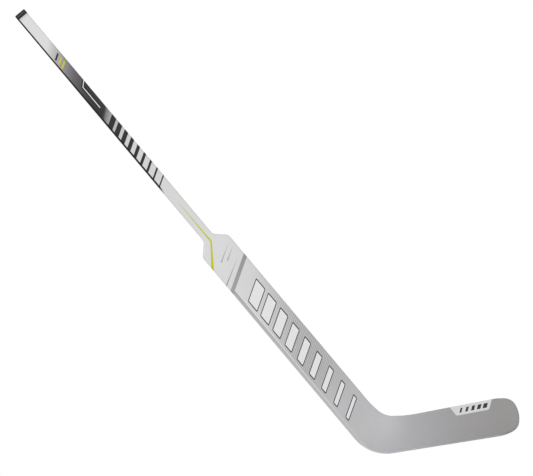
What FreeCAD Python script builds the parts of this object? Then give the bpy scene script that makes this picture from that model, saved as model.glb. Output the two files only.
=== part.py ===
import FreeCAD, Part
import math
import os

# Goalkeeper's ice-hockey stick, in millimetres and degrees.
# The origin is on the shaft's centre line, where the stick hand closes above the paddle's shoulders.
# +X runs along the blade towards the toe, +Z is up with the sole flat on the ice,
# and the forehand face, towards which the blade bends, looks along -Y.

# Whole stick
STICK_LENGTH = 1315.0          # heel corner to butt end, along the shaft
STICK_DEPTH = 20.0             # front to back, shared by shaft and paddle so that their faces run flush
LIE_ANGLE = 121.0              # between the sole and the shaft, measured over the blade
EDGE_RADIUS = 4.5              # rounding along every long edge of shaft, paddle and blade
GRIP_ABOVE_SHOULDERS = 45.0    # middle of the stick hand above the shoulders

# Shaft and its tenon in the paddle
SHAFT_WIDTH = 28.0
TENON_WALL = 1.2
BORE_RADIUS = 2.0
TENON_LENGTH = 120.0           # below the top of the collar

# Moulded skins of paddle and blade
SKIN = 1.2
PADDLE_LENGTH = 634.0          # heel corner to the top of the shoulders
PADDLE_WIDTH = 81.0
COLLAR_LENGTH = 14.0           # skins that run on round the shaft above the shoulders
HEEL_SIDE_SHOULDER = 27.0      # length of each shoulder's slope along the shaft
TOE_SIDE_SHOULDER = 24.0
SHOULDER_DROP = 2.8            # from the paddle's top down to the slopes, which a rounding leads into
SHOULDER_ROOT_RADIUS = 15.0
SHOULDER_TIP_RADIUS = 15.0
HEEL_RADIUS = 96.0

# Inner curve where paddle and blade meet: a tight arc between two easing arcs
CROTCH_UP_PADDLE = 46.0        # easing corner on the paddle's edge, from where straight edges would meet
CROTCH_ALONG_BLADE = 53.0      # easing corner on the blade's top edge, from the same point
CROTCH_EASE_ANGLE = 10.0
CROTCH_ARC_SHARE = 0.48        # how much of a run between two corners each of its arcs takes

# Blade
BLADE_LENGTH = 358.0
BLADE_TOE_HEIGHT = 90.0        # height of the top edge's line above the sole at the toe
BLADE_TOP_ANGLE = 1.9          # the blade widens towards the toe
BLADE_TOE_DEPTH = 14.0
BLADE_CURVE_START = 110.0      # from the heel corner along the sole
BLADE_CURVE = 14.0             # how far the toe bends towards the forehand face
BLADE_OPEN_ANGLE = 4.5         # how far the face leans back at the toe

# Toe: its corners back from the end, up from the sole and their radii, all as shares of the height there
TOE_TOP_EASE_SHARES = (0.483, 1.33)    # where the top edge starts to fall: back from the end, and radius
TOE_CORNER_SHARES = (
    (0.103, 0.915, 0.335),
    (-0.027, 0.5, 0.72),               # the end bows out between the two full corners
    (0.063, 0.125, 0.31),
)
TOE_SOLE_EASE_SHARES = (0.423, 1.1)    # where the sole starts to rise: back from the end, and radius

# Cores and ribs
RIB = 1.2
OUTER_RIB_OFFSET = 26.0        # from the paddle's centre line to an outer rib
HEEL_INSERT_ON_PADDLE = 150.0  # top of the heel insert, from the heel corner along the shaft
HEEL_INSERT_ON_BLADE = 135.0   # front of the heel insert, from the heel corner along the sole
LOWER_BLADE_RIB_HEIGHT = 28.0
UPPER_BLADE_RIB_HEIGHT = 57.0

# End plug
CAP_LENGTH = 12.0
CAP_EDGE_RADIUS = 2.5
PLUG_STEM_LENGTH = 38.0
PLUG_STEM_CLEARANCE = 0.8
PLUG_RIB_CLEARANCE = 0.1
PLUG_RIB_LENGTH = 3.0
PLUG_RIB_COUNT = 3
PLUG_WALL = 2.2
PLUG_LEAD_IN = 2.0

# Cuts run this far past what they cut
OVERRUN = 5.0

RIGHT_ANGLE = 90.0
HALF_TURN = 180.0

HALF_SHAFT = SHAFT_WIDTH / 2
HALF_PADDLE = PADDLE_WIDTH / 2
HALF_DEPTH = STICK_DEPTH / 2
GRIP_POINT = PADDLE_LENGTH + GRIP_ABOVE_SHOULDERS
COLLAR_TOP = PADDLE_LENGTH + COLLAR_LENGTH
TENON_END = COLLAR_TOP - TENON_LENGTH
TUBE_TOP = STICK_LENGTH - CAP_LENGTH
TENON_WIDTH = SHAFT_WIDTH - 2 * SKIN
TENON_DEPTH = STICK_DEPTH - 2 * SKIN
BORE_WIDTH = TENON_WIDTH - 2 * TENON_WALL
BORE_DEPTH = TENON_DEPTH - 2 * TENON_WALL
INSIDE_CHAMFER = (2 - math.sqrt(2)) * (EDGE_RADIUS - SKIN)    # keeps the skin's thickness under round edges
REACH = STICK_DEPTH + BLADE_CURVE
LONG = STICK_LENGTH + BLADE_LENGTH
TOLERANCE = SKIN / 100


def heading(angle):
    """Unit vector in the plane of the stick, turned from +X towards +Z."""
    return FreeCAD.Vector(math.cos(math.radians(angle)), 0, math.sin(math.radians(angle)))


UP_SHAFT = heading(LIE_ANGLE)
TO_TOE_SIDE = heading(LIE_ANGLE - RIGHT_ANGLE)
TO_BACK = FreeCAD.Vector(0, 1, 0)


def on_shaft(along, across):
    """Point in the mid plane: distance from the heel corner along the shaft, and off its centre line."""
    return UP_SHAFT * (along - GRIP_POINT) + TO_TOE_SIDE * across


HEEL_CORNER = on_shaft(0, -HALF_PADDLE)


def on_blade(along, height):
    """Point in the mid plane: distance from the heel corner along the sole, and height above the sole."""
    return HEEL_CORNER + FreeCAD.Vector(along, 0, height)


def meet(start, angle, other_start, other_angle):
    """Point where two lines in the plane of the stick cross."""
    step = heading(angle)
    normal = heading(other_angle + RIGHT_ANGLE)
    return start + step * ((other_start - start).dot(normal) / step.dot(normal))


def rounded_wire(corners):
    """Closed planar wire through corners, each a point and the radius that rounds it."""
    ends = []
    for index, (point, radius) in enumerate(corners):
        before = (corners[index - 1][0] - point).normalize()
        after = (corners[(index + 1) % len(corners)][0] - point).normalize()
        half_angle = before.getAngle(after) / 2
        reach = radius / math.tan(half_angle)
        inward = (before + after).normalize()
        arc_middle = point + inward * (radius / math.sin(half_angle) - radius)
        ends.append((point + before * reach, arc_middle, point + after * reach, radius))
    edges = []
    for index, (start, middle, end, radius) in enumerate(ends):
        if radius > 0:
            edges.append(Part.Arc(start, middle, end).toShape())
        edges.append(Part.LineSegment(end, ends[(index + 1) % len(ends)][0]).toShape())
    return Part.Wire(edges)


def through(wire):
    """Solid that runs through the whole stick, front to back, inside a wire in its mid plane."""
    solid = Part.Face(wire).extrude(TO_BACK * (2 * REACH))
    solid.translate(TO_BACK * -REACH)
    return solid


TOE_CORNER = on_blade(BLADE_LENGTH, BLADE_TOE_HEIGHT)


def crotch_corners():
    """Three corners of the curve between paddle and blade, with radii that fill the runs between them."""
    straight_meet = meet(on_shaft(0, HALF_PADDLE), LIE_ANGLE, TOE_CORNER, BLADE_TOP_ANGLE)
    on_paddle = straight_meet + UP_SHAFT * CROTCH_UP_PADDLE
    on_top_edge = straight_meet + heading(BLADE_TOP_ANGLE) * CROTCH_ALONG_BLADE
    middle = meet(on_paddle, LIE_ANGLE + HALF_TURN + CROTCH_EASE_ANGLE,
                  on_top_edge, BLADE_TOP_ANGLE - CROTCH_EASE_ANGLE)
    paddle_reach = CROTCH_ARC_SHARE * on_paddle.distanceToPoint(middle)
    blade_reach = CROTCH_ARC_SHARE * on_top_edge.distanceToPoint(middle)
    whole_turn = HALF_TURN - LIE_ANGLE + BLADE_TOP_ANGLE
    ease_slope = math.tan(math.radians(CROTCH_EASE_ANGLE / 2))
    middle_slope = math.tan(math.radians(whole_turn / 2 - CROTCH_EASE_ANGLE))
    return [
        (on_paddle, paddle_reach / ease_slope),
        (middle, min(paddle_reach, blade_reach) / middle_slope),
        (on_top_edge, blade_reach / ease_slope),
    ]


def toe_corners():
    """Corners of the toe's outline and their radii, from the top edge round to the sole."""
    back, radius = (share * BLADE_TOE_HEIGHT for share in TOE_TOP_EASE_SHARES)
    corners = [(TOE_CORNER - heading(BLADE_TOP_ANGLE) * back, radius)]
    for shares in TOE_CORNER_SHARES:
        back, up, radius = (share * BLADE_TOE_HEIGHT for share in shares)
        corners.append((on_blade(BLADE_LENGTH - back, up), radius))
    back, radius = (share * BLADE_TOE_HEIGHT for share in TOE_SOLE_EASE_SHARES)
    corners.append((on_blade(BLADE_LENGTH - back, 0), radius))
    return corners


def outline(collar_end):
    """Outline of collar, shoulders, paddle, heel and blade, seen from the front."""
    slopes_top = PADDLE_LENGTH - SHOULDER_DROP
    return rounded_wire([
        (on_shaft(collar_end, HALF_SHAFT), 0),
        (on_shaft(slopes_top, HALF_SHAFT), SHOULDER_ROOT_RADIUS),
        (on_shaft(slopes_top - TOE_SIDE_SHOULDER, HALF_PADDLE), SHOULDER_TIP_RADIUS),
        *crotch_corners(),
        *toe_corners(),
        (HEEL_CORNER, HEEL_RADIUS),
        (on_shaft(slopes_top - HEEL_SIDE_SHOULDER, -HALF_PADDLE), SHOULDER_TIP_RADIUS),
        (on_shaft(slopes_top, -HALF_SHAFT), SHOULDER_ROOT_RADIUS),
        (on_shaft(collar_end, -HALF_SHAFT), 0),
    ])


CURVE_START_X = on_blade(BLADE_CURVE_START, 0).x
TOE_X = TOE_CORNER.x
SLAB_BOTTOM = -OVERRUN
SLAB_TOP = on_shaft(COLLAR_TOP, SHAFT_WIDTH).z - HEEL_CORNER.z + OVERRUN


def bend_at_toe(height):
    """How far the toe lies off the mid plane at a height above the sole: bent forwards, leaning back."""
    lean = (height - BLADE_TOE_HEIGHT / 2) * math.tan(math.radians(BLADE_OPEN_ANGLE))
    return lean - BLADE_CURVE


def plan_side(depth_at_shaft, depth_at_toe, height):
    """Edges of one side seen from above: straight, then an even bend into the blade's curve."""
    far_x = TOE_X + OVERRUN
    bend_share = ((far_x - CURVE_START_X) / (TOE_X - CURVE_START_X)) ** 2
    far_depth = depth_at_shaft + (depth_at_toe + bend_at_toe(height) - depth_at_shaft) * bend_share
    level = HEEL_CORNER.z + height
    start = FreeCAD.Vector(-LONG, depth_at_shaft, level)
    bend = FreeCAD.Vector(CURVE_START_X, depth_at_shaft, level)
    pull = FreeCAD.Vector((CURVE_START_X + far_x) / 2, depth_at_shaft, level)
    end = FreeCAD.Vector(far_x, far_depth, level)
    curve = Part.BezierCurve()
    curve.setPoles([bend, pull, end])
    return start, end, [Part.LineSegment(start, bend).toShape(), curve.toShape()]


def plan_wire(front_depths, back_depths, height):
    """Closed section of the stick seen from above, between a front and a back side."""
    front_start, front_end, front = plan_side(*front_depths, height)
    back_start, back_end, back = plan_side(*back_depths, height)
    toe = Part.LineSegment(front_end, back_end).toShape()
    butt = Part.LineSegment(back_start, front_start).toShape()
    return Part.Wire(front + [toe] + back[::-1] + [butt])


def slab(front_depths, back_depths):
    """Solid between two such sides, each given by its depth at shaft and toe, taller than the stick."""
    sections = [plan_wire(front_depths, back_depths, height) for height in (SLAB_BOTTOM, SLAB_TOP)]
    return Part.makeLoft(sections, True, True)


def lies_at(edge, along):
    """True for an edge whose ends are at one distance along the shaft."""
    plane_point = on_shaft(along, 0)
    return all(abs((vertex.Point - plane_point).dot(UP_SHAFT)) < TOLERANCE for vertex in edge.Vertexes)


def is_long_edge(edge, collar_end):
    """True for the edges round the front and back faces, without the collar's end and the blade's seams."""
    first, last = edge.Vertexes[0].Point, edge.Vertexes[-1].Point
    span = last - first
    runs_front_to_back = abs(span.x) < TOLERANCE and abs(span.z) < TOLERANCE
    on_seam = all(abs(point.x - CURVE_START_X) < TOLERANCE for point in (first, last))
    return not (runs_front_to_back or lies_at(edge, collar_end) or on_seam)


def blank(inset, collar_end):
    """Collar, paddle and blade with sharp edges, shrunk by inset on every side but the collar's end."""
    wire = outline(collar_end + inset)
    if inset > 0:
        wire = wire.makeOffset2D(-inset)
    half_toe = BLADE_TOE_DEPTH / 2
    front_depths = (inset - HALF_DEPTH, inset - half_toe)
    back_depths = (HALF_DEPTH - inset, half_toe - inset)
    return through(wire).common(slab(front_depths, back_depths))


def long_edges(body, collar_end):
    """Edges round the front and back faces of a blank."""
    return [edge for edge in body.Edges if is_long_edge(edge, collar_end)]


def outer_form():
    """Outside of collar, paddle and blade, rounded along its edges."""
    body = blank(0, COLLAR_TOP)
    return body.makeFillet(EDGE_RADIUS, long_edges(body, COLLAR_TOP))


def inside_form(collar_end):
    """Space inside the skins, chamfered along its edges."""
    body = blank(SKIN, collar_end)
    return body.makeChamfer(INSIDE_CHAMFER, long_edges(body, collar_end))


def paddle_strip(low, high, heel_side, toe_side):
    """Block across the paddle between two distances along the shaft and two offsets from its line."""
    corners = [(low, heel_side), (low, toe_side), (high, toe_side), (high, heel_side)]
    return through(rounded_wire([(on_shaft(along, across), 0) for along, across in corners]))


def blade_strip(near, far, low, high):
    """Block across the blade between two distances along the sole and two heights above it."""
    corners = [(near, low), (far, low), (far, high), (near, high)]
    return through(rounded_wire([(on_blade(along, height), 0) for along, height in corners]))


def bar(width, depth, radius, low, high):
    """Rounded rectangular bar along the shaft's centre line."""
    corners = []
    for across, back in ((-width, -depth), (width, -depth), (width, depth), (-width, depth)):
        corners.append((on_shaft(low, across / 2) + TO_BACK * (back / 2), radius))
    return Part.Face(rounded_wire(corners)).extrude(UP_SHAFT * (high - low))


def make_shaft_tube(inside):
    """Hollow shaft with a tenon that fills the middle of the skins, so that their collar lies flush."""
    tube = bar(SHAFT_WIDTH, STICK_DEPTH, EDGE_RADIUS, COLLAR_TOP, TUBE_TOP)
    tenon = inside.common(paddle_strip(TENON_END, COLLAR_TOP, -TENON_WIDTH / 2, TENON_WIDTH / 2))
    bore = bar(BORE_WIDTH, BORE_DEPTH, BORE_RADIUS, TENON_END - OVERRUN, TUBE_TOP + OVERRUN)
    return tube.fuse(tenon).cut(bore)


def make_end_plug():
    """Cap over the butt end with a hollow ribbed stem in the shaft's bore."""
    cap = bar(SHAFT_WIDTH, STICK_DEPTH, EDGE_RADIUS, TUBE_TOP, STICK_LENGTH)
    cap = cap.makeFillet(CAP_EDGE_RADIUS, [edge for edge in cap.Edges if lies_at(edge, STICK_LENGTH)])
    stem_end = TUBE_TOP - PLUG_STEM_LENGTH
    stem_width = BORE_WIDTH - 2 * PLUG_STEM_CLEARANCE
    stem_depth = BORE_DEPTH - 2 * PLUG_STEM_CLEARANCE
    stem = bar(stem_width, stem_depth, 0, stem_end, TUBE_TOP)
    stem = stem.makeChamfer(PLUG_LEAD_IN / 2, [edge for edge in stem.Edges if lies_at(edge, stem_end)])
    rib_width = BORE_WIDTH - 2 * PLUG_RIB_CLEARANCE
    rib_depth = BORE_DEPTH - 2 * PLUG_RIB_CLEARANCE
    pitch = (PLUG_STEM_LENGTH - PLUG_LEAD_IN) / PLUG_RIB_COUNT
    ribs = []
    for index in range(PLUG_RIB_COUNT):
        low = stem_end + PLUG_LEAD_IN + pitch * index
        ribs.append(bar(rib_width, rib_depth, BORE_RADIUS, low, low + PLUG_RIB_LENGTH))
    hollow_width = stem_width - 2 * PLUG_WALL
    hollow_depth = stem_depth - 2 * PLUG_WALL
    hollow = bar(hollow_width, hollow_depth, 0, stem_end - OVERRUN, TUBE_TOP)
    return cap.fuse([stem] + ribs).cut(hollow)


def make_skins():
    """Front and rear skins: the wall between the outer form and the inside, parted at mid thickness."""
    wall = outer_form().cut(inside_form(COLLAR_TOP + OVERRUN))
    front_half = slab((-REACH, -REACH), (0, 0))
    back_half = slab((0, 0), (REACH, REACH))
    return wall.common(front_half), wall.common(back_half)


def make_cores(inside):
    """Foam strips, ribs and heel insert that fill the inside of the skins round and below the tenon."""
    inner_rib = TENON_WIDTH / 2
    core_bottom = HEEL_INSERT_ON_PADDLE
    below_cores = paddle_strip(-LONG, core_bottom, -LONG, LONG)
    behind_blade = blade_strip(-LONG, HEEL_INSERT_ON_BLADE, -LONG, LONG)
    centre = paddle_strip(core_bottom, TENON_END, -inner_rib, inner_rib)
    pieces = {
        "paddle_core_centre": inside.common(centre),
        "heel_insert": inside.common(below_cores).common(behind_blade),
    }
    for side_name, side in (("toe", 1), ("heel", -1)):
        bands = [
            ("paddle_rib_inner_%s_side", inner_rib, inner_rib + RIB),
            ("paddle_core_%s_side", inner_rib + RIB, OUTER_RIB_OFFSET),
            ("paddle_rib_outer_%s_side", OUTER_RIB_OFFSET, OUTER_RIB_OFFSET + RIB),
            ("paddle_core_%s_edge", OUTER_RIB_OFFSET + RIB, PADDLE_WIDTH),
        ]
        for name, near, far in bands:
            strip = paddle_strip(core_bottom, PADDLE_LENGTH, side * near, side * far)
            pieces[name % side_name] = inside.common(strip)
    levels = [
        ("blade_core_lower", 0, LOWER_BLADE_RIB_HEIGHT),
        ("blade_rib_lower", LOWER_BLADE_RIB_HEIGHT, LOWER_BLADE_RIB_HEIGHT + RIB),
        ("blade_core_middle", LOWER_BLADE_RIB_HEIGHT + RIB, UPPER_BLADE_RIB_HEIGHT),
        ("blade_rib_upper", UPPER_BLADE_RIB_HEIGHT, UPPER_BLADE_RIB_HEIGHT + RIB),
        ("blade_core_upper", UPPER_BLADE_RIB_HEIGHT + RIB, BLADE_TOE_HEIGHT),
    ]
    for name, low, high in levels:
        pieces[name] = inside.common(blade_strip(HEEL_INSERT_ON_BLADE, BLADE_LENGTH, low, high))
    return pieces


def main():
    """Makes every piece and writes each to its own file."""
    inside = inside_form(COLLAR_TOP)
    front, rear = make_skins()
    pieces = {
        "shaft_tube": make_shaft_tube(inside),
        "end_plug": make_end_plug(),
        "front_laminate": front,
        "rear_laminate": rear,
    }
    pieces.update(make_cores(inside))
    os.makedirs("parts", exist_ok=True)
    for name, shape in pieces.items():
        piece = shape.removeSplitter()
        state = "valid" if piece.isValid() else "NOT VALID"
        print(name, state, len(piece.Solids), "solid", round(piece.Volume), "mm3")
        piece.Solids[0].exportStep("parts/%s.step" % name)


main()
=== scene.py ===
"""A hockey goalie stick in its painted finish, in a plain studio, seen as the photograph shows it."""

import math

import bpy
import bmesh
from mathutils import Matrix, Vector


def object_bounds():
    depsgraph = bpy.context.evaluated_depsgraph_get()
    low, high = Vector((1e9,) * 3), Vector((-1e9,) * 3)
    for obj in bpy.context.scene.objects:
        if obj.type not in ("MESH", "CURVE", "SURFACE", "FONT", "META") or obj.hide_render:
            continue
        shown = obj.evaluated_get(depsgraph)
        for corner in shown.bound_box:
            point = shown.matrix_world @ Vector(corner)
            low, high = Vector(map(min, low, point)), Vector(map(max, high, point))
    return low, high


MM_PER_METRE = 1000

# How pictures store colour: full strength, and the curve from stored values to light
FULL_COLOUR = 255
CURVE_KNEE = 0.04045
CURVE_SLOPE = 12.92
CURVE_OFFSET = 0.055
CURVE_POWER = 2.4
DISPLAY_GAMMA = 2.2
WHITE_LIGHT = (1, 1, 1, 1)

# Places of a Mix node's colour sockets among its inputs and outputs
MIX_FIRST_COLOUR = 6
MIX_SECOND_COLOUR = 7
MIX_RESULT_COLOUR = 2

# Noise and cell patterns: the fourth coordinate, which they leave out, and how fine plain noise is
PATTERN_W = 0.0
NOISE_DETAIL = 2.0

# The stick's own sizes, in millimetres and degrees, as its solids have them
PADDLE_LENGTH = 634
PADDLE_WIDTH = 81
SHAFT_WIDTH = 28
STICK_DEPTH = 20
GRIP_ABOVE_SHOULDERS = 45
HEEL_RADIUS = 96
LIE_ANGLE = 121
HEEL_ARC_END = HEEL_RADIUS / math.tan(math.radians(LIE_ANGLE / 2))

# Where the stick lies in the row's frame: directions, and the heel's sharp corner in millimetres
UP_SHAFT = Vector((math.cos(math.radians(LIE_ANGLE)), 0, math.sin(math.radians(LIE_ANGLE))))
TO_TOE_SIDE = Vector((UP_SHAFT.z, 0, -UP_SHAFT.x))
GRIP_ALONG = PADDLE_LENGTH + GRIP_ABOVE_SHOULDERS
HEEL_CORNER = -(GRIP_ALONG * UP_SHAFT + PADDLE_WIDTH / 2 * TO_TOE_SIDE)

# The photograph: its frame in pixels, its scale and tilt, and the heel corner's pixel from the top left;
# the camera's distance and how far it sees are in metres
PHOTO_WIDTH = 533
PHOTO_HEIGHT = 476
MM_PER_PIXEL = 2.3245
PHOTO_ROLL = 9.025
HEEL_PIXEL = (369.25, 456.35)
CAMERA_DISTANCE = 30.0
CAMERA_SIGHT = 2 * CAMERA_DISTANCE

# The studio, in metres; a light's share is the part of full white that it gives a surface facing it
FLOOR_GAP = 0.0005
FLOOR_RADIUS = 4.0
FLOOR_SEGMENTS = 96
FLOOR_SOLID_SHARE = 0.3
FLOOR_COLOUR = (252, 252, 252)
AMBIENT_SHARE = 0.62
LIGHT_DISTANCE = 3.5
LIGHT_SIZE = 3.0
LIGHTS = {
    "key_front": ((-0.55, -0.75, 0.40), 0.28),
    "fill_front": ((0.30, -0.95, 0.20), 0.11),
    "key_back": ((0.5, 0.8, 0.4), 0.36),
}

# Print on the stick, in millimetres: up the shaft from the heel corner, then across to the toe side
PRINT_EDGE = 0.3

# Tones of the ground, each a place along shaft, paddle or blade and the colour there; a skew leans them.
# The shaft is shaded below the cap, and round the heel the paddle's tones go over into the blade's
SHAFT_TONE_SKEW = 0.8
SHAFT_TONES = (
    (640, (213, 213, 213)),
    (915, (206, 206, 206)),
    (950, (194, 194, 194)),
    (990, (157, 156, 157)),
    (1002, (123, 121, 122)),
    (1012, (36, 34, 35)),
    (1050, (42, 40, 41)),
    (1120, (99, 94, 97)),
    (1215, (214, 214, 214)),
)
CAP_SHADE = (1292.5, 1307)
CAP_SHADE_COLOUR = (186, 186, 186)
PADDLE_TONE_SKEW = 1.5
PADDLE_TONES = (
    (20, (186, 186, 188)),
    (230, (172, 172, 173)),
    (310, (176, 176, 176)),
    (460, (207, 207, 207)),
    (570, (214, 214, 214)),
)
# The blade runs darker from the heel towards the toe; its skew is painted light, lighter towards the
# sole against the floor's shade
BLADE_PAINTED_LIGHT_SKEW = -0.3
BLADE_TONES = (
    (20, (190, 189, 194)),
    (200, (163, 162, 164)),
    (330, (150, 147, 147)),
)
HEEL_BLEND = (0, 60)

# Soft lighter spots round the heel, each with its centre, radius and colour
GLOWS = (
    ((140, -55), 120, (191, 191, 193)),
    ((36, 35), 62, (193, 193, 195)),
    ((50, -15), 55, (190, 190, 191)),
)

# The painted light along the sole, a lighter rim against the floor's shade: how it fades inwards, where
# it comes in, and its tones from the heel on
SOLE_PAINTED_LIGHT = (5, 1)
SOLE_PAINTED_LIGHT_COMES = (-37, -5)
SOLE_PAINTED_LIGHT_TONES = (
    (0, (210, 209, 211)),
    (40, (222, 221, 223)),
    (200, (202, 201, 202)),
    (330, (198, 197, 198)),
)

# The black strip down the shaft's heel side: its inner edge, thin and full, where it widens and ends
SIDE_BLACK = (18, 17, 17)
SIDE_BLACK_ACROSS = (-10.4, -9.6)
SIDE_BLACK_WIDENS = (1190, 1000)
SIDE_BLACK_END = (764, 796)

# The bent chartreuse line and the thin grey slivers: start, end, and the widths at both
CHARTREUSE = (183, 182, 0)
CHARTREUSE_STRIPES = (
    ((738, -0.9), (619.6, -0.85), 0.9, 4.0),
    ((620.8, -0.6), (562.1, -44.9), 3.8, 6.1),
)
SLIVER_GREY = (150, 150, 151)
SLIVERS = (
    ((592, 27), (568, -14), 0.1, 2.4),
    ((581, 32), (562, -0.5), 0.1, 2.4),
    ((552.1, 21.5), (518.1, -41), 0.2, 3.0),
)

# The lean of slanted prints, the grey band across the paddle, and the printed line and band and a
# painted highlight along its edge
DIAGONAL = 0.585
BAND_TONES = ((-36, (157, 156, 155)), (36, (146, 145, 145)))
BAND_PLACE = (516.6, 527.2)
EDGE_SOFTNESS = 0.8
EDGE_LEAN = 0.0045
EDGE_LINE_ACROSS = -31.9
EDGE_LINE_TONES = ((60, (197, 197, 197)), (440, (222, 222, 222)))
EDGE_BAND_ACROSS = -34.2
EDGE_BAND_TONES = ((100, (187, 187, 188)), (440, (171, 171, 171)), (505, (160, 159, 159)))
# Painted highlight on the paddle's rounded heel-side edge: a lighter outer strip of the band
EDGE_HIGHLIGHT_ACROSS = -38.8
EDGE_HIGHLIGHT_TONES = ((60, (200, 200, 201)), (300, (189, 189, 190)), (505, (181, 181, 181)))
EDGE_PRINTS_AND_HIGHLIGHT = (
    (EDGE_LINE_ACROSS, EDGE_LINE_TONES),
    (EDGE_BAND_ACROSS, EDGE_BAND_TONES),
    (EDGE_HIGHLIGHT_ACROSS, EDGE_HIGHLIGHT_TONES),
)

# Plain slanted blocks down the paddle, each thinner than the one above it
BLOCK_TOP = 474
BLOCK_PITCH = 44
BLOCK_COUNT = 9
BLOCK_THICKNESSES = (34, 13)
BLOCK_REACH = 25
BLOCK_CORNER = 3.0
BLOCK_OUTLINE = 2.3
BLOCK_FILL_COLOUR = (226, 226, 226)
BLOCK_LINE_COLOUR = (34, 29, 29)

# Slanted bars below the dark part of the shaft, thinner towards the paddle, and three ticks above it
SPEED_BAR_BLACK = (24, 23, 23)
SPEED_BAR_START = 988
SPEED_BAR_PITCH = 23
SPEED_BAR_COUNT = 9
SPEED_BAR_SHARES = (0.72, 0.12)
TICKS = (((30, 29, 30), 1180), (CHARTREUSE, 1168), (CHARTREUSE, 1156))
TICK_THICKNESS = 5.0
TICK_REACH = 7.5

# The dark panel on the shaft's toe side, with a white pinstripe along its edge and round its corner
PANEL_CORNER = (1086.9, 1.45)
PANEL_TOP_LEAN = 0.93
PANEL_FADES = (1007, 1014)
PANEL_BLACK = (36, 35, 35)
PINSTRIPE_WHITE = (236, 236, 238)
PINSTRIPE_END = 1024.8
PINSTRIPE_WIDTH = 1.7
PINSTRIPE_BORDER = 3.2

# The pale patch on the blade's upper edge, and its bars: places along the sole from the heel, then up
PATCH_COLOUR = (215, 216, 217)
PATCH_LOW = ((214.2, 62.7), (291.2, 65.2))
PATCH_SIDE_LEANS = (-0.56, 0.45)
PATCH_ROUNDING = 5.0
PATCH_BAR_BLACK = (44, 42, 43)
PATCH_BAR_START = 284
PATCH_BAR_PITCH = 15
PATCH_BAR_COUNT = 5
PATCH_BAR_SHARES = (0.74, 0.26)
PATCH_BAR_HEIGHTS = (5.5, 16)
PATCH_BAR_LEAN = 0.45

# Fine printed lines along the diagonal, and where on the paddle they come up and die away
HATCH_PITCH = 5.25
HATCH_SHADE = 0.2
HATCH_COMES = (60, 310)
HATCH_GOES = (470, 350)

# The lacquer over the print: its flakes, its slight peel, how even its sheen is, and its metallic inks
FLAKE_SIZE = 0.7
FLAKE_DETAIL = 0.0
FLAKE_SHADE = 0.015
PEEL_SIZE = 2.2
PEEL_HEIGHT = 0.003
SHEEN_SIZE = 45
PAINT_ROUGHNESS = (0.34, 0.48)
PAINT_METALLIC = 0.1
INK_METALLIC = 0.5
PAINT_SPECULAR = 0.3
PAINT_COAT = 0.1
PAINT_COAT_ROUGHNESS = 0.12

# The other materials: colours from dark to pale, grain sizes and heights in millimetres, and roughness;
# the cap's painted highlight, a paler band, comes and goes along the shaft, and fades towards the cap's
# narrow sides
RUBBER_COLOURS = ((16, 15, 15), (32, 29, 30))
CAP_HIGHLIGHT_COLOURS = ((54, 46, 47), (78, 68, 69))
CAP_HIGHLIGHT_COMES = (1306.5, 1309)
CAP_HIGHLIGHT_GOES = (1313, 1310.5)
CAP_HIGHLIGHT_REACH = (13, 9)
RUBBER_GRAIN_SIZE = 0.8
RUBBER_GRAIN_HEIGHT = 0.03
RUBBER_ROUGHNESS = (0.45, 0.65)
RUBBER_SPECULAR = 0.25
CORE_FOAM_COLOURS = ((222, 214, 190), (236, 230, 210))
HEEL_FOAM_COLOURS = ((196, 184, 150), (214, 204, 174))
FOAM_CELL_SIZE = 1.5
FOAM_CELL_HEIGHT = 0.15
FOAM_ROUGHNESS = (0.75, 0.95)
RIB_COLOURS = ((34, 34, 36), (66, 66, 70))
RIB_STRAND_SIZE = 0.5
RIB_STRAND_HEIGHT = 0.03
RIB_ROUGHNESS = (0.4, 0.6)


def linear(colour):
    """A colour written 0 to 255, as pictures hold it, in the linear light that shaders take."""
    light = []
    for part in colour:
        stored = part / FULL_COLOUR
        if stored <= CURVE_KNEE:
            light.append(stored / CURVE_SLOPE)
        else:
            light.append(((stored + CURVE_OFFSET) / (1 + CURVE_OFFSET)) ** CURVE_POWER)
    return (*light, 1.0)


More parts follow.
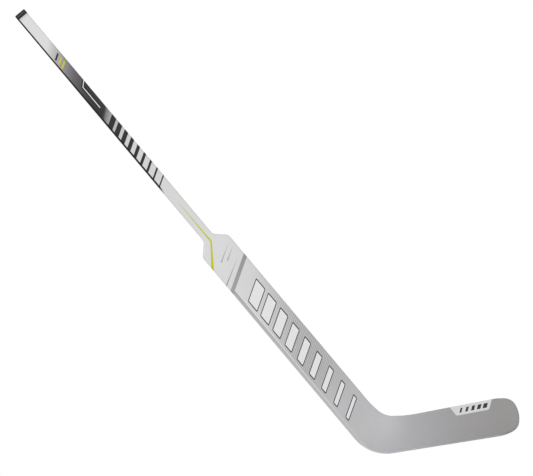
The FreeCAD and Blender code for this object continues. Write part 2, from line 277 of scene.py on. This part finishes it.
class Finish:
    """One material, and the nodes that feed its shader; a value is a socket or a plain number."""

    def __init__(self, name):
        self.material = bpy.data.materials.new(name)
        self.material.use_nodes = True
        self.nodes = self.material.node_tree.nodes
        self.links = self.material.node_tree.links
        self.shader = self.nodes["Principled BSDF"]
        self.place = self.node("TexCoord").outputs["Object"]

    def feed(self, socket, value):
        if isinstance(value, bpy.types.NodeSocket):
            self.links.new(value, socket)
        else:
            socket.default_value = value

    def node(self, kind, *values, **settings):
        made = self.nodes.new("ShaderNode" + kind)
        for name, setting in settings.items():
            setattr(made, name, setting)
        for socket, value in zip(made.inputs, values):
            self.feed(socket, value)
        return made

    def shade(self, **values):
        """Sets the shader's sockets by name, with _ for a space."""
        for name, value in values.items():
            self.feed(self.shader.inputs[name.replace("_", " ")], value)

    def math(self, operation, *values):
        return self.node("Math", *values, operation=operation).outputs[0]

    def dot(self, place, direction):
        return self.node("VectorMath", place, tuple(direction), operation="DOT_PRODUCT").outputs["Value"]

    def rise(self, value, low, high):
        """0 up to low and 1 from high, smooth between; it falls where low is above high."""
        return self.node("MapRange", value, low, high, interpolation_type="SMOOTHSTEP").outputs[0]

    def spread(self, value, low, high):
        """A value of 0 to 1 made to run from low to high."""
        return self.node("MapRange", value, 0.0, 1.0, low, high).outputs[0]

    def above(self, value, edge):
        return self.rise(value, edge - PRINT_EDGE, edge + PRINT_EDGE)

    def below(self, value, edge):
        return self.rise(value, edge + PRINT_EDGE, edge - PRINT_EDGE)

    def fold(self, operation, values):
        """All the values taken together, one after the other, by one operation."""
        together, *others = values
        for value in others:
            together = self.math(operation, together, value)
        return together

    def both(self, *masks):
        return self.fold("MULTIPLY", masks)

    def between(self, value, low, high):
        return self.both(self.above(value, low), self.below(value, high))

    def over(self, ground, colour, mask):
        """The ground's colour with another over it where the mask is 1."""
        made = self.node("Mix", mask, data_type="RGBA")
        self.feed(made.inputs[MIX_FIRST_COLOUR], ground)
        self.feed(made.inputs[MIX_SECOND_COLOUR], colour)
        return made.outputs[MIX_RESULT_COLOUR]

    def tones(self, value, stops):
        """Colours that run evenly to the eye through rising stops, each a place and its colour."""
        low, high = stops[0][0], stops[-1][0]
        share = self.node("MapRange", value, low, high).outputs[0]
        made = self.node("ValToRGB", share)
        elements = made.color_ramp.elements
        # A new ramp has two elements already
        for _ in stops[2:]:
            elements.new(1.0)
        for element, (place, colour) in zip(elements, stops):
            element.position = (place - low) / (high - low)
            element.color = [part / FULL_COLOUR for part in colour] + [1.0]
        return self.node("Gamma", made.outputs["Color"], DISPLAY_GAMMA).outputs[0]

    def pattern(self, kind, size, *more):
        """A pattern whose lumps or cells are about the given millimetres across."""
        return self.node(kind, self.place, PATTERN_W, MM_PER_METRE / size, *more)

    def noise(self, size, detail=NOISE_DETAIL):
        """Noise from 0 to 1."""
        return self.pattern("TexNoise", size, detail).outputs[0]

    def dim(self, colour, share):
        made = self.node("VectorMath", colour, operation="SCALE")
        self.feed(made.inputs["Scale"], share)
        return made.outputs[0]

    def bump(self, height, millimetres):
        made = self.node("Bump")
        made.inputs["Distance"].default_value = millimetres / MM_PER_METRE
        self.feed(made.inputs["Height"], height)
        return made.outputs[0]


class StickPrint(Finish):
    """A finish laid out in the stick's own coordinates, in millimetres."""

    def __init__(self, name):
        super().__init__(name)
        self.along = self.math("ADD", self.dot(self.place, UP_SHAFT * MM_PER_METRE), GRIP_ALONG)
        self.across = self.dot(self.place, TO_TOE_SIDE * MM_PER_METRE)
        self.from_heel = self.math("SUBTRACT", self.dot(self.place, (MM_PER_METRE, 0, 0)), HEEL_CORNER.x)
        self.height = self.math("SUBTRACT", self.dot(self.place, (0, 0, MM_PER_METRE)), HEEL_CORNER.z)
        self.spot = self.node("CombineXYZ", self.along, self.across).outputs[0]
        self.diagonal = self.leant(self.along, self.across, DIAGONAL)
        self.metal = PAINT_METALLIC

    def leant(self, value, other, lean):
        """A coordinate whose level lines lean by a share of another coordinate."""
        return self.math("MULTIPLY_ADD", other, -lean, value)

    def stroke(self, start, end, start_width, end_width):
        """Mask of a straight tapered line between two spots."""
        start, end = Vector(start + (0,)), Vector(end + (0,))
        run = end - start
        forward = run / run.length_squared
        aside = Vector((-run.y, run.x, 0)).normalized()
        share = self.math("SUBTRACT", self.dot(self.spot, forward), forward.dot(start))
        off = self.math("ABSOLUTE", self.math("SUBTRACT", self.dot(self.spot, aside), aside.dot(start)))
        half = self.math("MULTIPLY_ADD", share, (end_width - start_width) / 2, start_width / 2)
        edge = PRINT_EDGE / run.length
        ends = self.both(self.rise(share, -edge, edge), self.rise(share, 1 + edge, 1 - edge))
        return self.both(self.above(self.math("SUBTRACT", half, off), 0), ends)

    def strokes(self, ground, colour, lines):
        """The ground with straight tapered lines of one colour over it."""
        for line in lines:
            ground = self.over(ground, linear(colour), self.stroke(*line))
        return ground

    def ink(self, ground, colour, mask):
        """The ground with a metallic ink over it where the mask is 1."""
        self.metal = self.spread(mask, self.metal, INK_METALLIC)
        return self.over(ground, linear(colour), mask)

    def bars(self, value, start, pitch, count, shares):
        """Mask of bars along a coordinate, whose shares of the pitch run from first to last."""
        number = self.math("DIVIDE", self.math("SUBTRACT", value, start), pitch)
        place = self.math("FRACT", number)
        filled = self.node("MapRange", number, 0.0, count, *shares).outputs[0]
        edge = PRINT_EDGE / abs(pitch)
        begun = self.rise(place, 0, edge)
        open_still = self.rise(self.math("SUBTRACT", filled, place), 0, edge)
        in_row = self.both(self.rise(number, -edge, 0), self.rise(number, count, count - edge))
        return self.both(begun, open_still, in_row)

    def block_distance(self, low, high):
        """How far a spot lies outside a slanted block with round corners; negative inside."""
        centre = ((low + high) / 2, 0, 0)
        core = ((high - low) / 2 - BLOCK_CORNER, BLOCK_REACH - BLOCK_CORNER, 0)
        spot = self.node("CombineXYZ", self.diagonal, self.across).outputs[0]
        place = self.node("VectorMath", spot, centre, operation="SUBTRACT").outputs[0]
        folded = self.node("VectorMath", place, operation="ABSOLUTE").outputs[0]
        beyond = self.node("VectorMath", folded, core, operation="SUBTRACT").outputs[0]
        outside = self.node("VectorMath", beyond, (0, 0, 0), operation="MAXIMUM").outputs[0]
        reach = self.node("VectorMath", outside, operation="LENGTH").outputs["Value"]
        return self.math("SUBTRACT", reach, BLOCK_CORNER)

    def glow(self, ground, centre, radius, colour):
        """The ground with a soft round spot of another colour, gone at a radius from its centre."""
        away = self.node("VectorMath", self.spot, centre + (0,), operation="DISTANCE").outputs["Value"]
        return self.over(ground, linear(colour), self.rise(away, radius, 0))

    def hatch(self, ground, mask):
        """The ground with fine lines along the diagonal, as strong as the mask has them."""
        wave = self.math("SINE", self.math("MULTIPLY", self.diagonal, 2 * math.pi / HATCH_PITCH))
        lines = self.math("MULTIPLY", wave, mask)
        return self.dim(ground, self.math("MULTIPLY_ADD", lines, HATCH_SHADE, 1.0))

    def lacquer(self, colour):
        """Feeds the shader: a satin lacquer with fine flakes over the colour."""
        flakes = self.noise(FLAKE_SIZE, FLAKE_DETAIL)
        self.shade(
            Base_Color=self.dim(colour, self.spread(flakes, 1 - FLAKE_SHADE / 2, 1 + FLAKE_SHADE / 2)),
            Roughness=self.spread(self.noise(SHEEN_SIZE), *PAINT_ROUGHNESS),
            Normal=self.bump(self.noise(PEEL_SIZE), PEEL_HEIGHT),
            Metallic=self.metal,
            Specular_IOR_Level=PAINT_SPECULAR,
            Coat_Weight=PAINT_COAT,
            Coat_Roughness=PAINT_COAT_ROUGHNESS,
        )


def bent_line(finish, colour):
    """The ground with the chartreuse line that bends at the shoulders, from the shaft to the paddle."""
    for line in CHARTREUSE_STRIPES:
        colour = finish.ink(colour, CHARTREUSE, finish.stroke(*line))
    return colour


def shaft_panel(finish):
    """Mask of all that lies to the toe side of the pinstripe and below its lean."""
    corner_along, corner_across = PANEL_CORNER
    top = finish.leant(finish.along, finish.across, PANEL_TOP_LEAN)
    return finish.both(
        finish.above(finish.across, corner_across),
        finish.below(top, corner_along - PANEL_TOP_LEAN * corner_across),
    )


def pinstripe(finish, colour):
    """The ground with the white line, in its black border, down from the shaft's side and along it."""
    corner_along, corner_across = PANEL_CORNER
    side = (corner_along + PANEL_TOP_LEAN * (SHAFT_WIDTH / 2 - corner_across), SHAFT_WIDTH / 2)
    end = (PINSTRIPE_END, corner_across)
    widths = ((SIDE_BLACK, PINSTRIPE_WIDTH + 2 * PINSTRIPE_BORDER), (PINSTRIPE_WHITE, PINSTRIPE_WIDTH))
    for line_colour, width in widths:
        lines = [(side, PANEL_CORNER, width, width), (PANEL_CORNER, end, width, width)]
        colour = finish.strokes(colour, line_colour, lines)
    return colour


def speed_bars(finish, colour):
    """The ground with the slanted bars over it."""
    row = (SPEED_BAR_START, -SPEED_BAR_PITCH, SPEED_BAR_COUNT, SPEED_BAR_SHARES)
    return finish.over(colour, linear(SPEED_BAR_BLACK), finish.bars(finish.diagonal, *row))


def shaft_ticks(finish, colour):
    """The ground with the short slanted ticks over it."""
    wide = finish.between(finish.across, -TICK_REACH, TICK_REACH)
    for tick_colour, place in TICKS:
        thick = finish.between(finish.diagonal, place - TICK_THICKNESS / 2, place + TICK_THICKNESS / 2)
        colour = finish.ink(colour, tick_colour, finish.both(thick, wide))
    return colour


def side_strip(finish, colour):
    """The ground with the black strip on the shaft's heel side, which tapers to its lower end."""
    taper = finish.rise(finish.along, *SIDE_BLACK_END)
    inner = finish.spread(finish.rise(finish.along, *SIDE_BLACK_WIDENS), *SIDE_BLACK_ACROSS)
    reach = finish.math("ADD", inner, SHAFT_WIDTH / 2)
    edge = finish.math("MULTIPLY_ADD", reach, taper, -SHAFT_WIDTH / 2)
    beyond = finish.below(finish.math("SUBTRACT", finish.across, edge), 0)
    return finish.ink(colour, SIDE_BLACK, finish.both(beyond, taper))


def shaft_paint():
    """The shaft's paint: its tones, and over them the bars, panel, lines, ticks and side strip."""
    finish = StickPrint("shaft_paint")
    shading = finish.leant(finish.along, finish.across, SHAFT_TONE_SKEW)
    colour = finish.tones(shading, SHAFT_TONES)
    colour = finish.over(colour, linear(CAP_SHADE_COLOUR), finish.rise(finish.along, *CAP_SHADE))
    colour = speed_bars(finish, colour)
    panel = finish.both(shaft_panel(finish), finish.rise(shading, *PANEL_FADES))
    colour = finish.hatch(finish.over(colour, linear(PANEL_BLACK), panel), panel)
    colour = pinstripe(finish, colour)
    colour = shaft_ticks(finish, colour)
    colour = bent_line(finish, colour)
    colour = side_strip(finish, colour)
    finish.lacquer(colour)
    return finish.material


def sole_painted_light(finish, colour):
    """The ground with painted light: a lighter rim round the heel's arc and along the sole, against the
    floor's shade.
    """
    before_end = finish.math("MINIMUM", finish.math("SUBTRACT", finish.from_heel, HEEL_ARC_END), 0)
    below_centre = finish.math("MINIMUM", finish.math("SUBTRACT", finish.height, HEEL_RADIUS), 0)
    from_centre = finish.node("CombineXYZ", before_end, below_centre).outputs[0]
    reach = finish.node("VectorMath", from_centre, operation="LENGTH").outputs["Value"]
    gap = finish.math("SUBTRACT", HEEL_RADIUS, reach)
    rim = finish.both(finish.rise(gap, *SOLE_PAINTED_LIGHT), finish.rise(finish.from_heel, *SOLE_PAINTED_LIGHT_COMES))
    return finish.over(colour, finish.tones(finish.from_heel, SOLE_PAINTED_LIGHT_TONES), rim)


def paddle_blocks(finish, colour):
    """The ground with the outlined blocks over it."""
    first, last = BLOCK_THICKNESSES
    distances = []
    for number in range(BLOCK_COUNT):
        high = BLOCK_TOP - number * BLOCK_PITCH
        thickness = first + (last - first) * number / (BLOCK_COUNT - 1)
        distances.append(finish.block_distance(high - thickness, high))
    nearest = finish.fold("MINIMUM", distances)
    colour = finish.over(colour, linear(BLOCK_LINE_COLOUR), finish.below(nearest, 0))
    return finish.over(colour, linear(BLOCK_FILL_COLOUR), finish.below(nearest, -BLOCK_OUTLINE))


def blade_patch(finish, colour):
    """The ground with the pale patch that hangs from the blade's upper edge, and its slanted bars."""
    (left, left_low), (right, right_low) = PATCH_LOW
    lean = (right_low - left_low) / (right - left)
    level = finish.leant(finish.height, finish.from_heel, lean)
    up = finish.math("SUBTRACT", level, left_low - lean * left)
    left_lean, right_lean = PATCH_SIDE_LEANS
    left_gap = finish.math("SUBTRACT", finish.leant(finish.from_heel, up, left_lean), left)
    right_gap = finish.math("SUBTRACT", right, finish.leant(finish.from_heel, up, right_lean))
    inside = finish.math("SMOOTH_MIN", up, left_gap, PATCH_ROUNDING)
    inside = finish.math("SMOOTH_MIN", inside, right_gap, PATCH_ROUNDING)
    colour = finish.over(colour, linear(PATCH_COLOUR), finish.above(inside, 0))
    slanted = finish.leant(finish.from_heel, up, PATCH_BAR_LEAN)
    row = finish.bars(slanted, PATCH_BAR_START, -PATCH_BAR_PITCH, PATCH_BAR_COUNT, PATCH_BAR_SHARES)
    bars = finish.both(row, finish.between(up, *PATCH_BAR_HEIGHTS))
    return finish.over(colour, linear(PATCH_BAR_BLACK), bars)


def edge_prints_and_highlight(finish, colour):
    """The ground with the printed line and band along the paddle's heel side, below the grey band, and a
    painted highlight on its rounded edge.
    """
    under_band = finish.below(finish.diagonal, BAND_PLACE[1])
    beside = finish.leant(finish.across, finish.along, EDGE_LEAN)
    for across, tones in EDGE_PRINTS_AND_HIGHLIGHT:
        edge = finish.rise(beside, across + EDGE_SOFTNESS, across - EDGE_SOFTNESS)
        colour = finish.over(colour, finish.tones(finish.along, tones), finish.both(under_band, edge))
    return colour


def face_paint():
    """The paint of paddle and blade: their tones, and over them the stripes, lines, blocks and patch,
    with painted light along the sole and a painted highlight on the heel-side edge.
    """
    finish = StickPrint("face_paint")
    colour = finish.tones(finish.leant(finish.along, finish.across, PADDLE_TONE_SKEW), PADDLE_TONES)
    # The blade's tones, with painted light that lightens them towards the sole
    blade = finish.tones(finish.leant(finish.from_heel, finish.height, BLADE_PAINTED_LIGHT_SKEW), BLADE_TONES)
    on_blade = finish.rise(finish.from_heel, *HEEL_BLEND)
    fades = [finish.rise(finish.diagonal, *places) for places in (HATCH_COMES, HATCH_GOES)]
    colour = finish.over(finish.hatch(colour, finish.both(*fades)), blade, on_blade)
    for centre, radius, light in GLOWS:
        colour = finish.glow(colour, centre, radius, light)
    # Printed line and band, and a painted highlight on the rounded edge
    colour = edge_prints_and_highlight(finish, colour)
    # Painted light: a lighter rim along the sole, against the floor's shade
    colour = sole_painted_light(finish, colour)
    band = finish.between(finish.diagonal, *BAND_PLACE)
    colour = finish.over(colour, finish.tones(finish.across, BAND_TONES), band)
    colour = finish.strokes(colour, SLIVER_GREY, SLIVERS)
    colour = bent_line(finish, colour)
    colour = paddle_blocks(finish, colour)
    colour = blade_patch(finish, colour)
    finish.lacquer(colour)
    return finish.material


def grain_colour(finish, grain, colours):
    """The colour that a grain from 0 to 1 gives, from dark to pale."""
    dark, pale = colours
    return finish.over(linear(dark), linear(pale), grain)


def grained(finish, grain, colour, roughness, height):
    """A plain material of a given colour, whose grain from 0 to 1 gives its roughness and relief."""
    finish.shade(
        Base_Color=colour,
        Roughness=finish.spread(grain, *roughness),
        Normal=finish.bump(grain, height),
    )
    return finish.material


def plug_rubber():
    """Black rubber, with a painted highlight: a paler band on the cap's two wide faces."""
    finish = StickPrint("plug_rubber")
    finish.shade(Specular_IOR_Level=RUBBER_SPECULAR)
    grain = finish.noise(RUBBER_GRAIN_SIZE)
    fresh = grain_colour(finish, grain, RUBBER_COLOURS)
    cap_highlight = grain_colour(finish, grain, CAP_HIGHLIGHT_COLOURS)
    # Painted highlight: a paler band across the cap's wide faces, near its end
    fades = [finish.rise(finish.along, *places) for places in (CAP_HIGHLIGHT_COMES, CAP_HIGHLIGHT_GOES)]
    inner = finish.rise(finish.math("ABSOLUTE", finish.across), *CAP_HIGHLIGHT_REACH)
    colour = finish.over(fresh, cap_highlight, finish.both(inner, *fades))
    return grained(finish, grain, colour, RUBBER_ROUGHNESS, RUBBER_GRAIN_HEIGHT)


def foam(name, colours):
    """Cellular foam, pale where its cells meet."""
    finish = Finish(name)
    cells = finish.pattern("TexVoronoi", FOAM_CELL_SIZE).outputs["Distance"]
    colour = grain_colour(finish, cells, colours)
    return grained(finish, cells, colour, FOAM_ROUGHNESS, FOAM_CELL_HEIGHT)


def carbon_rib():
    """Dark carbon laminate with fine mottling."""
    finish = Finish("carbon_rib")
    strands = finish.noise(RIB_STRAND_SIZE)
    colour = grain_colour(finish, strands, RIB_COLOURS)
    return grained(finish, strands, colour, RIB_ROUGHNESS, RIB_STRAND_HEIGHT)


def dress(nodes):
    """Gives every solid its finish through its object's own material slots."""
    face = face_paint()
    core = foam("core_foam", CORE_FOAM_COLOURS)
    rib = carbon_rib()
    finishes = {
        "shaft_tube": shaft_paint(),
        "end_plug": plug_rubber(),
        "front_laminate": face,
        "rear_laminate": face,
        "heel_insert": foam("heel_foam", HEEL_FOAM_COLOURS),
    }
    for name, node in nodes.items():
        finish = rib if "_rib_" in name else finishes.get(name, core)
        for slot in node.material_slots:
            slot.link = "OBJECT"
            slot.material = finish


def make_floor(height):
    """A pale round floor that fades out into the white all round."""
    mesh = bpy.data.meshes.new("floor")
    outline = bmesh.new()
    bmesh.ops.create_circle(outline, cap_ends=True, radius=FLOOR_RADIUS, segments=FLOOR_SEGMENTS)
    outline.to_mesh(mesh)
    outline.free()
    floor = bpy.data.objects.new("floor", mesh)
    floor.location.z = height
    bpy.context.scene.collection.objects.link(floor)
    finish = Finish("floor")
    reach = finish.node("VectorMath", finish.place, operation="LENGTH").outputs["Value"]
    solid = finish.rise(reach, FLOOR_RADIUS, FLOOR_RADIUS * FLOOR_SOLID_SHARE)
    clear = finish.node("BsdfTransparent").outputs[0]
    pale = finish.node("BsdfDiffuse", linear(FLOOR_COLOUR)).outputs[0]
    surface = finish.node("MixShader", solid, clear, pale).outputs[0]
    finish.feed(finish.nodes["Material Output"].inputs["Surface"], surface)
    mesh.materials.append(finish.material)


def make_world():
    """Even light for the stick, and plain white for the camera and for what gloss shows."""
    world = bpy.data.worlds.new("studio")
    world.use_nodes = True
    nodes, links = world.node_tree.nodes, world.node_tree.links
    ambient = nodes["Background"]
    ambient.inputs["Color"].default_value = WHITE_LIGHT
    ambient.inputs["Strength"].default_value = AMBIENT_SHARE
    white = nodes.new("ShaderNodeBackground")
    white.inputs["Color"].default_value = WHITE_LIGHT
    path = nodes.new("ShaderNodeLightPath")
    seen = path.outputs["Is Camera Ray"]
    for kind in ("Is Glossy Ray", "Is Transmission Ray"):
        either = nodes.new("ShaderNodeMath")
        either.operation = "MAXIMUM"
        links.new(seen, either.inputs[0])
        links.new(path.outputs[kind], either.inputs[1])
        seen = either.outputs[0]
    mix = nodes.new("ShaderNodeMixShader")
    links.new(seen, mix.inputs[0])
    links.new(ambient.outputs[0], mix.inputs[1])
    links.new(white.outputs[0], mix.inputs[2])
    links.new(mix.outputs[0], nodes["World Output"].inputs[0])
    bpy.context.scene.world = world


def make_lights(middle):
    """Soft lamps round the stick, each with the power that its share of full white takes."""
    for name, (direction, share) in LIGHTS.items():
        light = bpy.data.lights.new(name, "AREA")
        light.size = LIGHT_SIZE
        light.energy = share * (math.pi * LIGHT_DISTANCE) ** 2
        lamp = bpy.data.objects.new(name, light)
        away = Vector(direction).normalized()
        lamp.location = middle + away * LIGHT_DISTANCE
        lamp.rotation_euler = away.to_track_quat("Z", "Y").to_euler()
        lamp.visible_camera = False
        bpy.context.scene.collection.objects.link(lamp)


def make_camera(floor_height):
    """The photograph's view: square on to the front face, from far off at floor level, and tilted."""
    roll = math.radians(PHOTO_ROLL)
    right = ((PHOTO_WIDTH - 1) / 2 - HEEL_PIXEL[0]) * MM_PER_PIXEL
    up = (HEEL_PIXEL[1] - (PHOTO_HEIGHT - 1) / 2) * MM_PER_PIXEL
    level = Matrix.Rotation(roll, 3, "Y")
    aim = (level @ Vector((right, 0, up)) + HEEL_CORNER) / MM_PER_METRE
    aim.y = -STICK_DEPTH / 2 / MM_PER_METRE
    data = bpy.data.cameras.new("camera")
    data.lens = data.sensor_width * CAMERA_DISTANCE / (PHOTO_WIDTH * MM_PER_PIXEL / MM_PER_METRE)
    data.clip_end = CAMERA_SIGHT
    camera = bpy.data.objects.new("camera", data)
    place = Vector((aim.x, aim.y - CAMERA_DISTANCE, floor_height))
    turn = (aim - place).to_track_quat("-Z", "Y").to_matrix().to_4x4()
    camera.matrix_world = Matrix.Translation(place) @ turn @ Matrix.Rotation(-roll, 4, "Z")
    bpy.context.scene.collection.objects.link(camera)
    bpy.context.scene.camera = camera


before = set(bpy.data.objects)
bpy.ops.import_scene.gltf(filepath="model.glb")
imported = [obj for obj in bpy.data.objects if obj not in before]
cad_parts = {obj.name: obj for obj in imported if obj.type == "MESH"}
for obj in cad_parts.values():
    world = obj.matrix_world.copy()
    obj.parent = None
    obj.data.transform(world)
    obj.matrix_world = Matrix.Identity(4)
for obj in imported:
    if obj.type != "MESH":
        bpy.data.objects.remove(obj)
cad_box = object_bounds()
floor_height = cad_box[0].z - FLOOR_GAP
dress(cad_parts)
make_floor(floor_height)
make_world()
make_lights((cad_box[0] + cad_box[1]) / 2)
make_camera(floor_height)
bpy.context.scene.view_settings.view_transform = "Standard"
